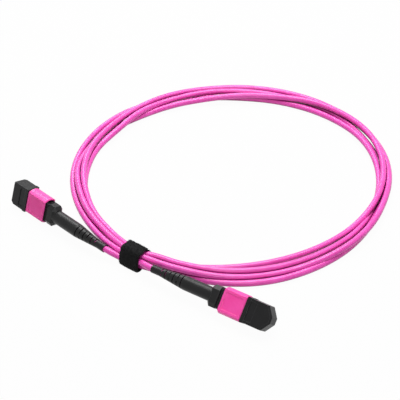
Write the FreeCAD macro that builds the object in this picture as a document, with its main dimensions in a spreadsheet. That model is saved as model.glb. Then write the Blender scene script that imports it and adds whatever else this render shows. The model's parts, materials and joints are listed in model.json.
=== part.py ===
import FreeCAD, Part
import math
import os
import Sketcher

V = FreeCAD.Vector
SPRING_SIDES = 10
doc = FreeCAD.newDocument("mpo_trunk_cable")
sheet = doc.addObject("Spreadsheet::Sheet", "Sizes")

# Driving dimensions in millimetres and degrees
# In a plug the x axis runs forward, 0 at the coupling sleeve's front; y is the width and z the thickness
DRIVING = {
    "cable_d": 3.0,
    # coil of four turns, drawn in to a tighter bend at the strap
    "coil_r": 75.0,
    "bend_r": 40.5,
    "coil_w": 8.4,
    "coil_high": 5.7,
    "coil_bevel": 1.6,
    "coil_slope": 2.6,
    # strap: where its opening lies, how wide and high that is, and how far the turns are drawn in to it
    "strap_mid_x": -0.4,
    "strap_mid_y": -5.45,
    "strap_nip": 4.45,
    "strap_in_w": 6.1,
    "strap_in_high": 7.0,
    "strap_len": 11.1,
    "strap_thick": 0.9,
    "strap_room": 0.15,
    "strap_round": 2.2,
    "strap_lap": 5.0,
    # coupling sleeve, fitted round the inner housing and the two side springs
    "spring_ease": 0.2,
    "sleeve_ease": 0.2,
    "sleeve_len": 11.6,
    "sleeve_wall": 0.6,
    "sleeve_travel": 1.4,
    "panel_margin": 1.4,
    "panel_border": 1.1,
    "panel_deep": 0.2,
    "edge_break": 0.35,
    # inner housing
    "body_w": 9.6,
    "body_high": 5.4,
    "body_bevel": 0.8,
    "nose_high": 4.4,
    "nose_len": 4.5,
    "key_w": 3.0,
    "key_high": 0.55,
    "nose_step": 1.0,
    "channel_wall": 0.55,
    "tab_len": 1.0,
    "slide_gap": 0.15,
    "touch_gap": 0.05,
    # springs
    "wire": 0.22,
    "side_spring_d": 1.1,
    "side_spring_turns": 5,
    "main_spring_d": 4.3,
    "main_wire": 0.5,
    "main_spring_turns": 4,
    # ferrule
    "ferrule_w": 6.4,
    "ferrule_high": 2.45,
    "ferrule_len": 8.0,
    "ferrule_proud": 0.5,
    "ferrule_float": 0.5,
    "flange_w": 7.1,
    "flange_high": 3.0,
    "flange_len": 2.0,
    "guide_d": 0.7,
    "guide_pitch": 4.6,
    "ribbon_w": 3.05,
    "ribbon_thick": 0.32,
    "ribbon_in": 3.2,
    "sock_wall": 0.35,
    "fill_half": 1.0,
    "keeper_len": 2.0,
    # rear plug, crimp and boot
    "neck_step": 0.2,
    "neck_groove": 0.4,
    "stem_d": 4.3,
    "stem_len": 6.6,
    "crimp_wall": 0.4,
    "crimp_low_len": 4.4,
    "head_w": 10.0,
    "head_high": 6.6,
    "head_len": 4.9,
    "head_bevel": 1.9,
    "head_rear": 1.4,
    "boot_len": 31.8,
    "boot_d": 6.5,
    "boot_tip_d": 3.7,
    "boot_smooth": 13.6,
    "boot_collar": 4.4,
    "slot_w": 0.55,
    "slot_web": 1.3,
    # dust caps: a short blunt one on plug a and a longer pointed one on plug b
    "cap_wall": 0.7,
    "cap_cover": 0.5,
    "cap_lip": 0.2,
    "cap_lip_len": 1.8,
    "cap_bevel": 0.8,
    "cap_recess": 0.3,
    "cap_recess_end": 5.4,
    "cap_a_len": 10.6,
    "cap_a_taper": 0.9,
    "cap_a_corner": 0.8,
    "cap_b_len": 13.85,
    "cap_b_taper": 3.1,
    "cap_b_corner": 4.2,
    # where each boot's tip lies beside the strap, and how each plug points, leans and rolls
    "tip_a_x": -14.1,
    "tip_a_y": -8.7,
    "turn_a": 170.6,
    "tilt_a": 1.95,
    "roll_a": -74.0,
    "tip_b_x": 12.85,
    "tip_b_y": -9.0,
    "turn_b": -0.3,
    "tilt_b": 0.8,
    "roll_b": 48.2,
}

# Sizes that follow from the driving ones
DERIVED = {
    "bend_cy": "bend_r + strap_mid_y",
    "coil_cy": "coil_r + strap_mid_y + strap_nip",
    "coil_out_r": "coil_r + coil_w / 2",
    "coil_in_r": "coil_r - coil_w / 2",
    "bend_out_r": "bend_r + coil_w / 2",
    "bend_in_r": "bend_r - coil_w / 2",
    "strap_x0": "strap_mid_x - strap_len / 2",
    "strap_x1": "strap_mid_x + strap_len / 2",
    "notch_x0": "strap_x0 - strap_room",
    "notch_x1": "strap_x1 + strap_room",
    "notch_len": "notch_x1 - notch_x0",
    "notch_deep": "strap_thick + touch_gap",
    "hole_y0": "strap_mid_y - strap_in_w / 2",
    "hole_y1": "strap_mid_y + strap_in_w / 2",
    "hole_z1": "strap_thick + strap_in_high",
    "nip_half": "strap_in_w / 2 - strap_room",
    "heap_z1": "hole_z1 - strap_room",
    "heap_y0": "strap_mid_y - nip_half",
    "heap_y1": "strap_mid_y + nip_half",
    "heap_ya": "heap_y0 + coil_bevel",
    "heap_yb": "heap_y1 - coil_bevel",
    "heap_za": "notch_deep + coil_bevel",
    "heap_zb": "heap_z1 - coil_bevel",
    "band_y0": "hole_y0 - strap_thick",
    "band_y1": "hole_y1 + strap_thick",
    "band_z1": "hole_z1 + strap_thick",
    "lap_y1": "band_y1 + strap_thick",
    "strap_round_out": "strap_round + strap_thick",
    "body_y": "body_w / 2",
    "body_z": "body_high / 2",
    "bore_z": "body_z + slide_gap",
    "bore_y": "sleeve_y - sleeve_wall * 0.55",
    "bore_side": "spring_y + side_r1 + spring_ease",
    "bore_bulge": "bore_side - bore_y",
    "bore_side_r": "(bore_z ^ 2 + bore_bulge ^ 2) / (2 * bore_bulge)",
    "sleeve_y": "body_y + sleeve_ease",
    "sleeve_z": "bore_z + sleeve_wall",
    "sleeve_side": "bore_side + sleeve_wall",
    "sleeve_bulge": "sleeve_side - sleeve_y",
    "sleeve_side_r": "(sleeve_z ^ 2 + sleeve_bulge ^ 2) / (2 * sleeve_bulge)",
    "panel_x0": "panel_margin - sleeve_len",
    "panel_y": "sleeve_y - panel_border",
    "body_zb": "body_z - body_bevel",
    "body_yb": "body_y - body_bevel",
    "nose_z": "nose_high / 2",
    "key_y": "key_w / 2",
    "key_z": "nose_z + key_high",
    "key_x0": "0.13 * nose_len",
    "key_x1": "0.89 * nose_len",
    "tip_x": "nose_len + ferrule_proud",
    "flange_x0": "tip_x - ferrule_len",
    "flange_x1": "flange_x0 + flange_len",
    "shoulder_x": "flange_x1 + touch_gap",
    "ferrule_y": "ferrule_w / 2",
    "ferrule_z": "ferrule_high / 2",
    "well_y": "ferrule_y + slide_gap * 0.6",
    "well_z": "ferrule_z + slide_gap * 0.6",
    "flange_y": "flange_w / 2",
    "flange_z": "flange_high / 2",
    "seat_y": "flange_y + slide_gap",
    "seat_z": "flange_z + slide_gap",
    "keeper_x0": "flange_x0 - touch_gap - keeper_len",
    "keeper_x1": "flange_x0 - touch_gap",
    "keeper_z": "flange_z - touch_gap",
    "main_x1": "keeper_x0 - touch_gap",
    "main_x0": "push_x1 + touch_gap",
    "main_r0": "main_spring_d / 2 - main_wire",
    "main_r1": "main_spring_d / 2",
    "main_climb": "main_x1 - main_x0 - main_wire",
    "room_z": "main_spring_d / 2 + slide_gap",
    "room_x1": "keeper_x0 + keeper_len * 0.4",
    "channel_y": "seat_y + channel_wall",
    "spring_y": "channel_y + side_spring_d / 2 + touch_gap",
    "channel_z": "side_spring_d / 2 + touch_gap * 2",
    "channel_x1": "-0.35 * sleeve_len",
    "channel_x0": "-0.88 * sleeve_len",
    "tab_x1": "channel_x1 - touch_gap",
    "tab_x0": "tab_x1 - tab_len",
    "tab_y0": "channel_y + touch_gap * 2",
    "tab_y1": "sleeve_side - sleeve_wall / 2",
    "tab_z": "channel_z - touch_gap * 2.4",
    "side_r0": "side_spring_d / 2 - wire",
    "side_r1": "side_spring_d / 2",
    "side_x0": "channel_x0 + touch_gap",
    "side_climb": "tab_x0 - channel_x0 - touch_gap * 2 - wire",
    "body_tail": "sleeve_len - touch_gap * 2",
    "body_tail_x": "-body_tail",
    "push_x1": "-0.8 * sleeve_len",
    "push_y": "seat_y - slide_gap",
    "push_z": "room_z - slide_gap",
    "window_y": "key_y",
    "window_x0": "0.18 * push_x1 + 0.82 * body_tail_x",
    "window_x1": "0.82 * push_x1 + 0.18 * body_tail_x",
    "ear_y": "window_y - slide_gap",
    "ear_x0": "window_x0 + touch_gap",
    "ear_x1": "window_x1 - slide_gap",
    "ear_z": "body_z - slide_gap",
    "neck_len": "sleeve_travel + slide_gap * 2",
    "neck_x1": "body_tail_x - touch_gap",
    "neck_x0": "neck_x1 - neck_len",
    "neck_y": "body_y - neck_step",
    "neck_z": "body_z - neck_step",
    "rib_y": "neck_y - neck_groove",
    "rib_z": "neck_z - neck_groove",
    "rib_xa": "neck_x0 + neck_len * 0.18",
    "rib_xb": "neck_x0 + neck_len * 0.36",
    "rib_xc": "neck_x0 + neck_len * 0.56",
    "rib_xd": "neck_x0 + neck_len * 0.74",
    "bore_r": "ribbon_w / 2 + touch_gap * 4",
    "stem_r": "stem_d / 2",
    "stem_x0": "neck_x0 - stem_len",
    "crimp_x1": "neck_x0 - crimp_wall",
    "crimp_r": "stem_r + touch_gap",
    "crimp_out_r": "crimp_r + crimp_wall",
    "crimp_step_x": "stem_x0 - touch_gap * 2",
    "crimp_low_r": "cable_d / 2 + touch_gap",
    "crimp_low_out_r": "crimp_low_r + crimp_wall",
    "crimp_low_x": "crimp_step_x - crimp_wall",
    "crimp_x0": "crimp_step_x - crimp_low_len",
    "head_x1": "neck_x0 - touch_gap * 2",
    "head_x0": "head_x1 - head_len",
    "head_y": "head_w / 2",
    "head_z": "head_high / 2",
    "head_mid_x": "head_x1 - head_len / 2",
    "head_yb": "head_y - head_bevel",
    "head_zb": "head_z - head_bevel * 0.75",
    "boot_x0": "head_x0 - boot_len",
    "boot_mid_x": "head_x0 - boot_smooth",
    "boot_collar_x": "boot_x0 + boot_collar",
    "boot_r": "boot_d / 2",
    "boot_tip_r": "boot_tip_d / 2",
    "cavity_r": "crimp_out_r + slide_gap * 0.8",
    "cavity_low_r": "crimp_low_out_r + slide_gap * 0.8",
    "cavity_x": "crimp_low_x - touch_gap * 7",
    "cavity_x0": "crimp_x0 - touch_gap * 7",
    "cable_r": "cable_d / 2",
    "jacket_r": "cable_r + touch_gap",
    "slot_pitch": "(boot_mid_x - boot_collar_x) / 6",
    "slot_y0": "slot_web / 2",
    "slot_y1": "boot_r * 1.3",
    "slot_a_x0": "boot_collar_x + slot_pitch * 0.5 - slot_w / 2",
    "slot_a_x1": "boot_collar_x + slot_pitch * 0.5 + slot_w / 2",
    "slot_b_x0": "slot_a_x0 + slot_pitch",
    "slot_b_x1": "slot_a_x1 + slot_pitch",
    "slot_run": "slot_pitch * 4",
    "jacket_x1": "crimp_step_x - touch_gap",
    "jacket_len": "jacket_x1 - boot_x0",
    "ribbon_x1": "flange_x0 + ribbon_in",
    "ribbon_len": "ribbon_x1 - jacket_x1 - touch_gap",
    "ribbon_y": "ribbon_w / 2",
    "ribbon_z": "ribbon_thick / 2",
    "sock_y": "ribbon_y + sock_wall",
    "sock_z": "ribbon_z + sock_wall * 1.4",
    "sock_in_y": "ribbon_y + touch_gap * 2",
    "sock_in_z": "ribbon_z + touch_gap * 2",
    "sock_x0": "keeper_x0 + touch_gap * 4",
    "sock_x1": "ribbon_x1 - touch_gap * 8",
    "well_back_y": "sock_y + touch_gap",
    "well_back_z": "sock_z + touch_gap",
    "well_back_x": "ribbon_x1 + ferrule_float + touch_gap * 2",
    "keeper_in_y": "well_back_y + touch_gap",
    "keeper_in_z": "well_back_z + touch_gap",
    "guide_r": "guide_d / 2",
    "guide_y": "guide_pitch / 2",
    "fill_x0": "ribbon_x1 - fill_half",
    "fill_x1": "ribbon_x1 + fill_half",
    "fill_y": "ribbon_y * 0.95",
    "fill_z": "ferrule_z * 0.5",
    "cap_x0": "touch_gap * 4",
    "cap_y": "body_y + slide_gap + cap_wall",
    "cap_z": "key_z + slide_gap + cap_cover",
    "cap_high": "cap_z * 2",
    "cap_a_shoulder": "cap_a_len - cap_a_taper",
    "cap_a_nose_y": "cap_y - cap_a_corner",
    "cap_b_shoulder": "cap_b_len - cap_b_taper",
    "cap_b_nose_y": "cap_y - cap_b_corner",
    "lip_x": "cap_x0 + cap_lip_len",
    "lip_y": "cap_y + cap_lip",
    "lip_z": "cap_z + cap_lip * 0.7",
    "cap_in_y": "body_y + slide_gap",
    "cap_in_z": "nose_z + slide_gap",
    "cap_in_x": "tip_x + ferrule_proud * 1.6",
    "cap_in_len": "cap_in_x - cap_x0",
    "keyway_y": "key_y + slide_gap",
    "keyway_z": "key_z + slide_gap",
    "keyway_len": "key_x1 + slide_gap * 2 - cap_x0",
    "dent_y": "cap_y * 0.78",
}


def fill_sheet():
    row = 1
    for name, number in DRIVING.items():
        sheet.set(f"A{row}", name)
        sheet.set(f"B{row}", str(number))
        sheet.setAlias(f"B{row}", name)
        row += 1
    for name, formula in DERIVED.items():
        sheet.set(f"A{row}", name)
        sheet.set(f"B{row}", "=" + formula)
        sheet.setAlias(f"B{row}", name)
        row += 1
    doc.recompute()


def size(name):
    # A size from the sheet; a leading minus sign turns it round
    if name.startswith("-"):
        return -size(name[1:])
    return float(sheet.get(name))


def bind(target, prop, name):
    sign = "-" if name.startswith("-") else ""
    target.setExpression(prop, f"{sign}Sizes.{name.lstrip('-')}")


def origin_of(body, role):
    return [o for o in body.Origin.OriginFeatures if o.Role == role][0]


def new_body(label):
    return doc.addObject("PartDesign::Body", label)


def new_sketch(body, role, offset=None, shift=None):
    # A sketch on one of the body's planes: offset is along the normal and shift is along the sketch's own y
    sketch = body.newObject("Sketcher::SketchObject", body.Name + "_sketch")
    sketch.AttachmentSupport = [(origin_of(body, role), "")]
    sketch.MapMode = "FlatFace"
    if offset:
        bind(sketch, "AttachmentOffset.Base.z", offset)
    if shift:
        bind(sketch, "AttachmentOffset.Base.y", shift)
    return sketch


def pin(sketch, kind, item, point, name):
    # Fix one coordinate of a point to a size
    if name == "zero":
        axis = -2 if kind == "DistanceX" else -1
        sketch.addConstraint(Sketcher.Constraint("PointOnObject", item, point, axis))
        return
    index = sketch.addConstraint(Sketcher.Constraint(kind, -1, 1, item, point, size(name)))
    bind(sketch, f"Constraints[{index}]", name)


def number(name):
    return 0.0 if name == "zero" else size(name)


def polygon(sketch, corners):
    # A closed outline whose corners are pairs of sizes
    first = sketch.GeometryCount
    count = len(corners)
    spots = [V(number(x), number(y), 0) for x, y in corners]
    for i in range(count):
        sketch.addGeometry(Part.LineSegment(spots[i], spots[(i + 1) % count]))
    for i in range(count):
        sketch.addConstraint(Sketcher.Constraint("Coincident", first + i, 2, first + (i + 1) % count, 1))
    for i, (x, y) in enumerate(corners):
        pin(sketch, "DistanceX", first + i, 1, x)
        pin(sketch, "DistanceY", first + i, 1, y)


def rectangle(sketch, x0, x1, y0, y1):
    polygon(sketch, [(x0, y0), (x1, y0), (x1, y1), (x0, y1)])


def centred(sketch, half_x, half_y):
    rectangle(sketch, "-" + half_x, half_x, "-" + half_y, half_y)


def bevelled(sketch, y, z, yb, zb):
    # A rectangle with its four corners cut off
    polygon(
        sketch,
        [
            ("-" + yb, "-" + z), (yb, "-" + z), (y, "-" + zb), (y, zb),
            (yb, z), ("-" + yb, z), ("-" + y, zb), ("-" + y, "-" + zb),
        ],
    )


def circle(sketch, radius, x="zero", y="zero"):
    item = sketch.addGeometry(Part.Circle(V(number(x), number(y), 0), V(0, 0, 1), size(radius)))
    pin(sketch, "DistanceX", item, 3, x)
    pin(sketch, "DistanceY", item, 3, y)
    index = sketch.addConstraint(Sketcher.Constraint("Radius", item, size(radius)))
    bind(sketch, f"Constraints[{index}]", radius)


def barrel(sketch, flat, half, radius):
    # Two straight sides joined by two arcs that bulge outwards
    y, z, r = size(flat), size(half), size(radius)
    swing = math.asin(z / r)
    middle = y - r * math.cos(swing)
    first = sketch.GeometryCount
    up = V(0, 0, 1)
    sketch.addGeometry(Part.LineSegment(V(-y, -z, 0), V(y, -z, 0)))
    sketch.addGeometry(Part.ArcOfCircle(Part.Circle(V(middle, 0, 0), up, r), -swing, swing))
    sketch.addGeometry(Part.LineSegment(V(y, z, 0), V(-y, z, 0)))
    left = Part.Circle(V(-middle, 0, 0), up, r)
    sketch.addGeometry(Part.ArcOfCircle(left, math.pi - swing, math.pi + swing))
    for i in range(4):
        sketch.addConstraint(Sketcher.Constraint("Coincident", first + i, 2, first + (i + 1) % 4, 1))
    pin(sketch, "DistanceX", first, 1, "-" + flat)
    pin(sketch, "DistanceX", first, 2, flat)
    pin(sketch, "DistanceX", first + 2, 1, flat)
    pin(sketch, "DistanceX", first + 2, 2, "-" + flat)
    pin(sketch, "DistanceY", first, 1, "-" + half)
    pin(sketch, "DistanceY", first, 2, "-" + half)
    pin(sketch, "DistanceY", first + 2, 1, half)
    pin(sketch, "DistanceY", first + 2, 2, half)
    for i in (1, 3):
        index = sketch.addConstraint(Sketcher.Constraint("Radius", first + i, r))
        bind(sketch, f"Constraints[{index}]", radius)


def egg(sketch, big, small):
    # A large arc and a small one on the y axis, joined by their two outer tangents
    centre, bend = size("coil_cy"), size("bend_cy")
    r1, r2 = size(big), size(small)
    lean = math.acos((r1 - r2) / (centre - bend))
    up = V(0, 0, 1)

    def on(cy, r, sign):
        return V(sign * r * math.sin(lean), cy - r * math.cos(lean), 0)

    first = sketch.GeometryCount
    low = -math.pi / 2
    round_coil = Part.Circle(V(0, centre, 0), up, r1)
    sketch.addGeometry(Part.ArcOfCircle(round_coil, low + lean, low - lean + 2 * math.pi))
    sketch.addGeometry(Part.LineSegment(on(centre, r1, -1), on(bend, r2, -1)))
    sketch.addGeometry(Part.ArcOfCircle(Part.Circle(V(0, bend, 0), up, r2), low - lean, low + lean))
    sketch.addGeometry(Part.LineSegment(on(bend, r2, 1), on(centre, r1, 1)))
    for i in range(4):
        sketch.addConstraint(Sketcher.Constraint("Tangent", first + i, 2, first + (i + 1) % 4, 1))
    for item, cy, radius in ((first, "coil_cy", big), (first + 2, "bend_cy", small)):
        pin(sketch, "DistanceX", item, 3, "zero")
        pin(sketch, "DistanceY", item, 3, cy)
        index = sketch.addConstraint(Sketcher.Constraint("Radius", item, size(radius)))
        bind(sketch, f"Constraints[{index}]", radius)


def grow(body, sketch, length, back=False, both=False):
    # Add the sketch's outline, along its normal, back from it or to both sides
    pad = body.newObject("PartDesign::Pad", body.Name + "_pad")
    pad.Profile = sketch
    bind(pad, "Length", length)
    pad.Reversed = back
    if both:
        pad.SideType = "Symmetric"
    doc.recompute()
    return pad


def cut(body, sketch, length=None, ahead=False, both=False):
    # Take the sketch's outline away, and make sure that something went
    before = body.Shape.Volume
    pocket = body.newObject("PartDesign::Pocket", body.Name + "_pocket")
    pocket.Profile = sketch
    if length:
        bind(pocket, "Length", length)
    else:
        pocket.Type = "ThroughAll"
    pocket.Reversed = ahead
    if both:
        pocket.SideType = "Symmetric"
    doc.recompute()
    if body.Shape.Volume > before - 1e-6:
        raise RuntimeError(f"{body.Label}: a cut removed nothing")
    return pocket


def turn(body, sketch, kind="PartDesign::Revolution"):
    feature = body.newObject(kind, body.Name + "_turned")
    feature.Profile = sketch
    feature.ReferenceAxis = (origin_of(body, "X_Axis"), [""])
    feature.Angle = 360
    doc.recompute()
    return feature


def edges(body, wanted):
    # Names of the edges whose middle point passes the test
    names = []
    for i, edge in enumerate(body.Shape.Edges, 1):
        first, last = edge.ParameterRange
        local = body.Placement.inverse().multVec(edge.valueAt((first + last) / 2))
        if wanted(local, edge):
            names.append(f"Edge{i}")
    return names


def soften(body, kind, wanted, name):
    names = edges(body, wanted)
    if not names:
        raise RuntimeError(f"{body.Label}: no edge to soften")
    feature = body.newObject("PartDesign::" + kind, body.Name + "_" + kind.lower())
    feature.Base = (body.Tip if body.Tip != feature else feature.BaseFeature, names)
    bind(feature, "Radius" if kind == "Fillet" else "Size", name)
    doc.recompute()
    return feature


def near(a, b):
    return abs(a - b) < 1e-4


# Dust cap: a lipped box, its end drawn in and bevelled all round, hollow for the plug's nose and its key
def dust_cap(end):
    body = new_body(f"dust_cap_{end}")
    tip, shoulder, nose = f"cap_{end}_len", f"cap_{end}_shoulder", f"cap_{end}_nose_y"
    plan = new_sketch(body, "XY_Plane")
    polygon(
        plan,
        [
            ("cap_x0", "-cap_y"), (shoulder, "-cap_y"), (tip, "-" + nose),
            (tip, nose), (shoulder, "cap_y"), ("cap_x0", "cap_y"),
        ],
    )
    grow(body, plan, "cap_high", both=True)
    start, flat = size(shoulder), size("cap_z")
    soften(body, "Chamfer", lambda p, e: p.x > start + 0.01 and near(abs(p.z), flat), "cap_bevel")
    lip = new_sketch(body, "YZ_Plane", "cap_x0")
    centred(lip, "lip_y", "lip_z")
    grow(body, lip, "cap_lip_len")
    for side in ("cap_z", "-cap_z"):
        dent = new_sketch(body, "XY_Plane", side)
        rectangle(dent, "lip_x", "cap_recess_end", "-dent_y", "dent_y")
        cut(body, dent, "cap_recess", ahead=side.startswith("-"))
    hollow = new_sketch(body, "YZ_Plane", "cap_x0")
    centred(hollow, "cap_in_y", "cap_in_z")
    cut(body, hollow, "cap_in_len", ahead=True)
    keyway = new_sketch(body, "YZ_Plane", "cap_x0")
    rectangle(keyway, "-keyway_y", "keyway_y", "zero", "keyway_z")
    cut(body, keyway, "keyway_len", ahead=True)
    return body


# Coupling sleeve: round-sided tube with a shallow panel on both broad faces and a tab for each spring
def coupling_sleeve(label):
    body = new_body(label)
    outside = new_sketch(body, "YZ_Plane")
    barrel(outside, "sleeve_y", "sleeve_z", "sleeve_side_r")
    grow(body, outside, "sleeve_len", back=True)
    rear = -size("sleeve_len")
    soften(body, "Chamfer", lambda p, e: near(p.x, 0) or near(p.x, rear), "edge_break")
    for side in ("sleeve_z", "-sleeve_z"):
        panel = new_sketch(body, "XY_Plane", side)
        rectangle(panel, "panel_x0", "-panel_margin", "-panel_y", "panel_y")
        cut(body, panel, "panel_deep", ahead=side.startswith("-"))
    bore = new_sketch(body, "YZ_Plane")
    barrel(bore, "bore_y", "bore_z", "bore_side_r")
    cut(body, bore, "sleeve_len")
    tabs = new_sketch(body, "YZ_Plane", "tab_x0")
    rectangle(tabs, "tab_y0", "tab_y1", "-tab_z", "tab_z")
    rectangle(tabs, "-tab_y1", "-tab_y0", "-tab_z", "tab_z")
    pad = body.newObject("PartDesign::Pad", body.Name + "_tabs")
    pad.Profile = tabs
    pad.setExpression("Length", "Sizes.tab_x1 - Sizes.tab_x0")
    doc.recompute()
    return body


# Inner housing: the nose with its key, the ferrule's well, the spring room and a channel along each side
def inner_housing(label):
    body = new_body(label)
    block = new_sketch(body, "YZ_Plane", "body_tail_x")
    bevelled(block, "body_y", "body_z", "body_yb", "body_zb")
    pad = body.newObject("PartDesign::Pad", body.Name + "_block")
    pad.Profile = block
    pad.setExpression("Length", "Sizes.body_tail - Sizes.nose_step")
    doc.recompute()
    nose = new_sketch(body, "YZ_Plane", "body_tail_x")
    centred(nose, "body_y", "nose_z")
    pad = body.newObject("PartDesign::Pad", body.Name + "_nose")
    pad.Profile = nose
    pad.setExpression("Length", "Sizes.body_tail + Sizes.nose_len")
    doc.recompute()
    key = new_sketch(body, "YZ_Plane", "key_x0")
    rectangle(key, "-key_y", "key_y", "zero", "key_z")
    pad = body.newObject("PartDesign::Pad", body.Name + "_key")
    pad.Profile = key
    pad.setExpression("Length", "Sizes.key_x1 - Sizes.key_x0")
    doc.recompute()
    well = new_sketch(body, "YZ_Plane", "nose_len")
    centred(well, "well_y", "well_z")
    cut(body, well)
    seat = new_sketch(body, "YZ_Plane", "shoulder_x")
    centred(seat, "seat_y", "seat_z")
    cut(body, seat)
    room = new_sketch(body, "YZ_Plane", "room_x1")
    centred(room, "seat_y", "room_z")
    cut(body, room)
    for side in ("channel_y", "-channel_y"):
        channel = new_sketch(body, "XZ_Plane", side)
        rectangle(channel, "channel_x0", "channel_x1", "-channel_z", "channel_z")
        cut(body, channel, "body_w", ahead=not side.startswith("-"))
    windows = new_sketch(body, "XY_Plane")
    rectangle(windows, "window_x0", "window_x1", "-window_y", "window_y")
    cut(body, windows, both=True)
    return body


# Ferrule: guide-pin holes, a rear flange, the opening for the ribbon and the filling window
def mt_ferrule(label):
    body = new_body(label)
    block = new_sketch(body, "YZ_Plane", "flange_x0")
    centred(block, "ferrule_y", "ferrule_z")
    grow(body, block, "ferrule_len")
    flange = new_sketch(body, "YZ_Plane", "flange_x0")
    centred(flange, "flange_y", "flange_z")
    grow(body, flange, "flange_len")
    opening = new_sketch(body, "YZ_Plane", "well_back_x")
    centred(opening, "well_back_y", "well_back_z")
    cut(body, opening)
    guides = new_sketch(body, "YZ_Plane", "tip_x")
    circle(guides, "guide_r", "guide_y")
    circle(guides, "guide_r", "-guide_y")
    cut(body, guides)
    window = new_sketch(body, "XY_Plane", "fill_z")
    rectangle(window, "fill_x0", "fill_x1", "-fill_y", "fill_y")
    cut(body, window, "ferrule_high", ahead=True)
    return body


def ring_block(label, x0, x1, outer, inner):
    # A rectangular block along x with a rectangular hole through it
    body = new_body(label)
    outside = new_sketch(body, "YZ_Plane", x0)
    centred(outside, *outer)
    pad = body.newObject("PartDesign::Pad", body.Name + "_pad")
    pad.Profile = outside
    pad.setExpression("Length", f"Sizes.{x1} - Sizes.{x0}")
    doc.recompute()
    hole = new_sketch(body, "YZ_Plane", x1)
    centred(hole, *inner)
    cut(body, hole)
    return body


def spring(label, start, inner, outer, climb, turns, shift=None):
    # Square wire wound round a line parallel to x, in short straight lengths
    low, high, x0 = size(inner), size(outer), size(start)
    middle = V(0, size(shift), 0) if shift else V()
    steps = int(size(turns) * SPRING_SIDES)
    rings = []
    for i in range(steps + 1):
        angle = 2 * math.pi * i / SPRING_SIDES
        out = V(0, math.cos(angle), math.sin(angle))
        x = V(x0 + size(climb) * i / steps, 0, 0) + middle
        wire = V(high - low, 0, 0)
        rings.append([x + out * low, x + wire + out * low, x + wire + out * high, x + out * high])
    faces = [flat(rings[0]), flat(rings[-1])]
    for near_ring, far_ring in zip(rings, rings[1:]):
        for k in range(4):
            n = (k + 1) % 4
            faces.append(flat([near_ring[k], near_ring[n], far_ring[n]]))
            faces.append(flat([near_ring[k], far_ring[n], far_ring[k]]))
    solid = Part.Solid(Part.Shell(faces))
    if solid.Volume < 0:
        solid.reverse()
    coil = doc.addObject("Part::Feature", label)
    coil.Shape = solid
    return coil


def side_spring(label, shift):
    return spring(label, "side_x0", "side_r0", "side_r1", "side_climb", "side_spring_turns", shift)


def flat(corners):
    return Part.Face(Part.makePolygon(corners + corners[:1]))


# Rear plug: the block that holds the ferrule spring, its two ears, a ribbed neck and the crimp stem
def spring_push(label):
    body = new_body(label)
    neck = new_sketch(body, "YZ_Plane", "neck_x0")
    centred(neck, "neck_y", "neck_z")
    grow(body, neck, "neck_len")
    front = new_sketch(body, "YZ_Plane", "neck_x0")
    centred(front, "push_y", "push_z")
    pad = body.newObject("PartDesign::Pad", body.Name + "_front")
    pad.Profile = front
    pad.setExpression("Length", "Sizes.push_x1 - Sizes.neck_x0")
    doc.recompute()
    ears = new_sketch(body, "YZ_Plane", "ear_x0")
    centred(ears, "ear_y", "ear_z")
    pad = body.newObject("PartDesign::Pad", body.Name + "_ears")
    pad.Profile = ears
    pad.setExpression("Length", "Sizes.ear_x1 - Sizes.ear_x0")
    doc.recompute()
    stem = new_sketch(body, "YZ_Plane", "stem_x0")
    circle(stem, "stem_r")
    grow(body, stem, "stem_len")
    for x0, x1 in (("rib_xa", "rib_xb"), ("rib_xc", "rib_xd")):
        groove = new_sketch(body, "YZ_Plane", x1)
        centred(groove, "body_w", "body_w")
        centred(groove, "rib_y", "rib_z")
        pocket = body.newObject("PartDesign::Pocket", body.Name + "_groove")
        pocket.Profile = groove
        pocket.setExpression("Length", f"Sizes.{x1} - Sizes.{x0}")
        doc.recompute()
    bore = new_sketch(body, "YZ_Plane", "push_x1")
    circle(bore, "bore_r")
    cut(body, bore)
    return body


def crimp_ring(label):
    body = new_body(label)
    half = new_sketch(body, "XY_Plane")
    polygon(
        half,
        [
            ("crimp_x1", "crimp_r"), ("crimp_x1", "crimp_out_r"), ("crimp_low_x", "crimp_out_r"),
            ("crimp_low_x", "crimp_low_out_r"), ("crimp_x0", "crimp_low_out_r"), ("crimp_x0", "crimp_low_r"),
            ("crimp_step_x", "crimp_low_r"), ("crimp_step_x", "crimp_r"),
        ],
    )
    turn(body, half)
    return body


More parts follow.
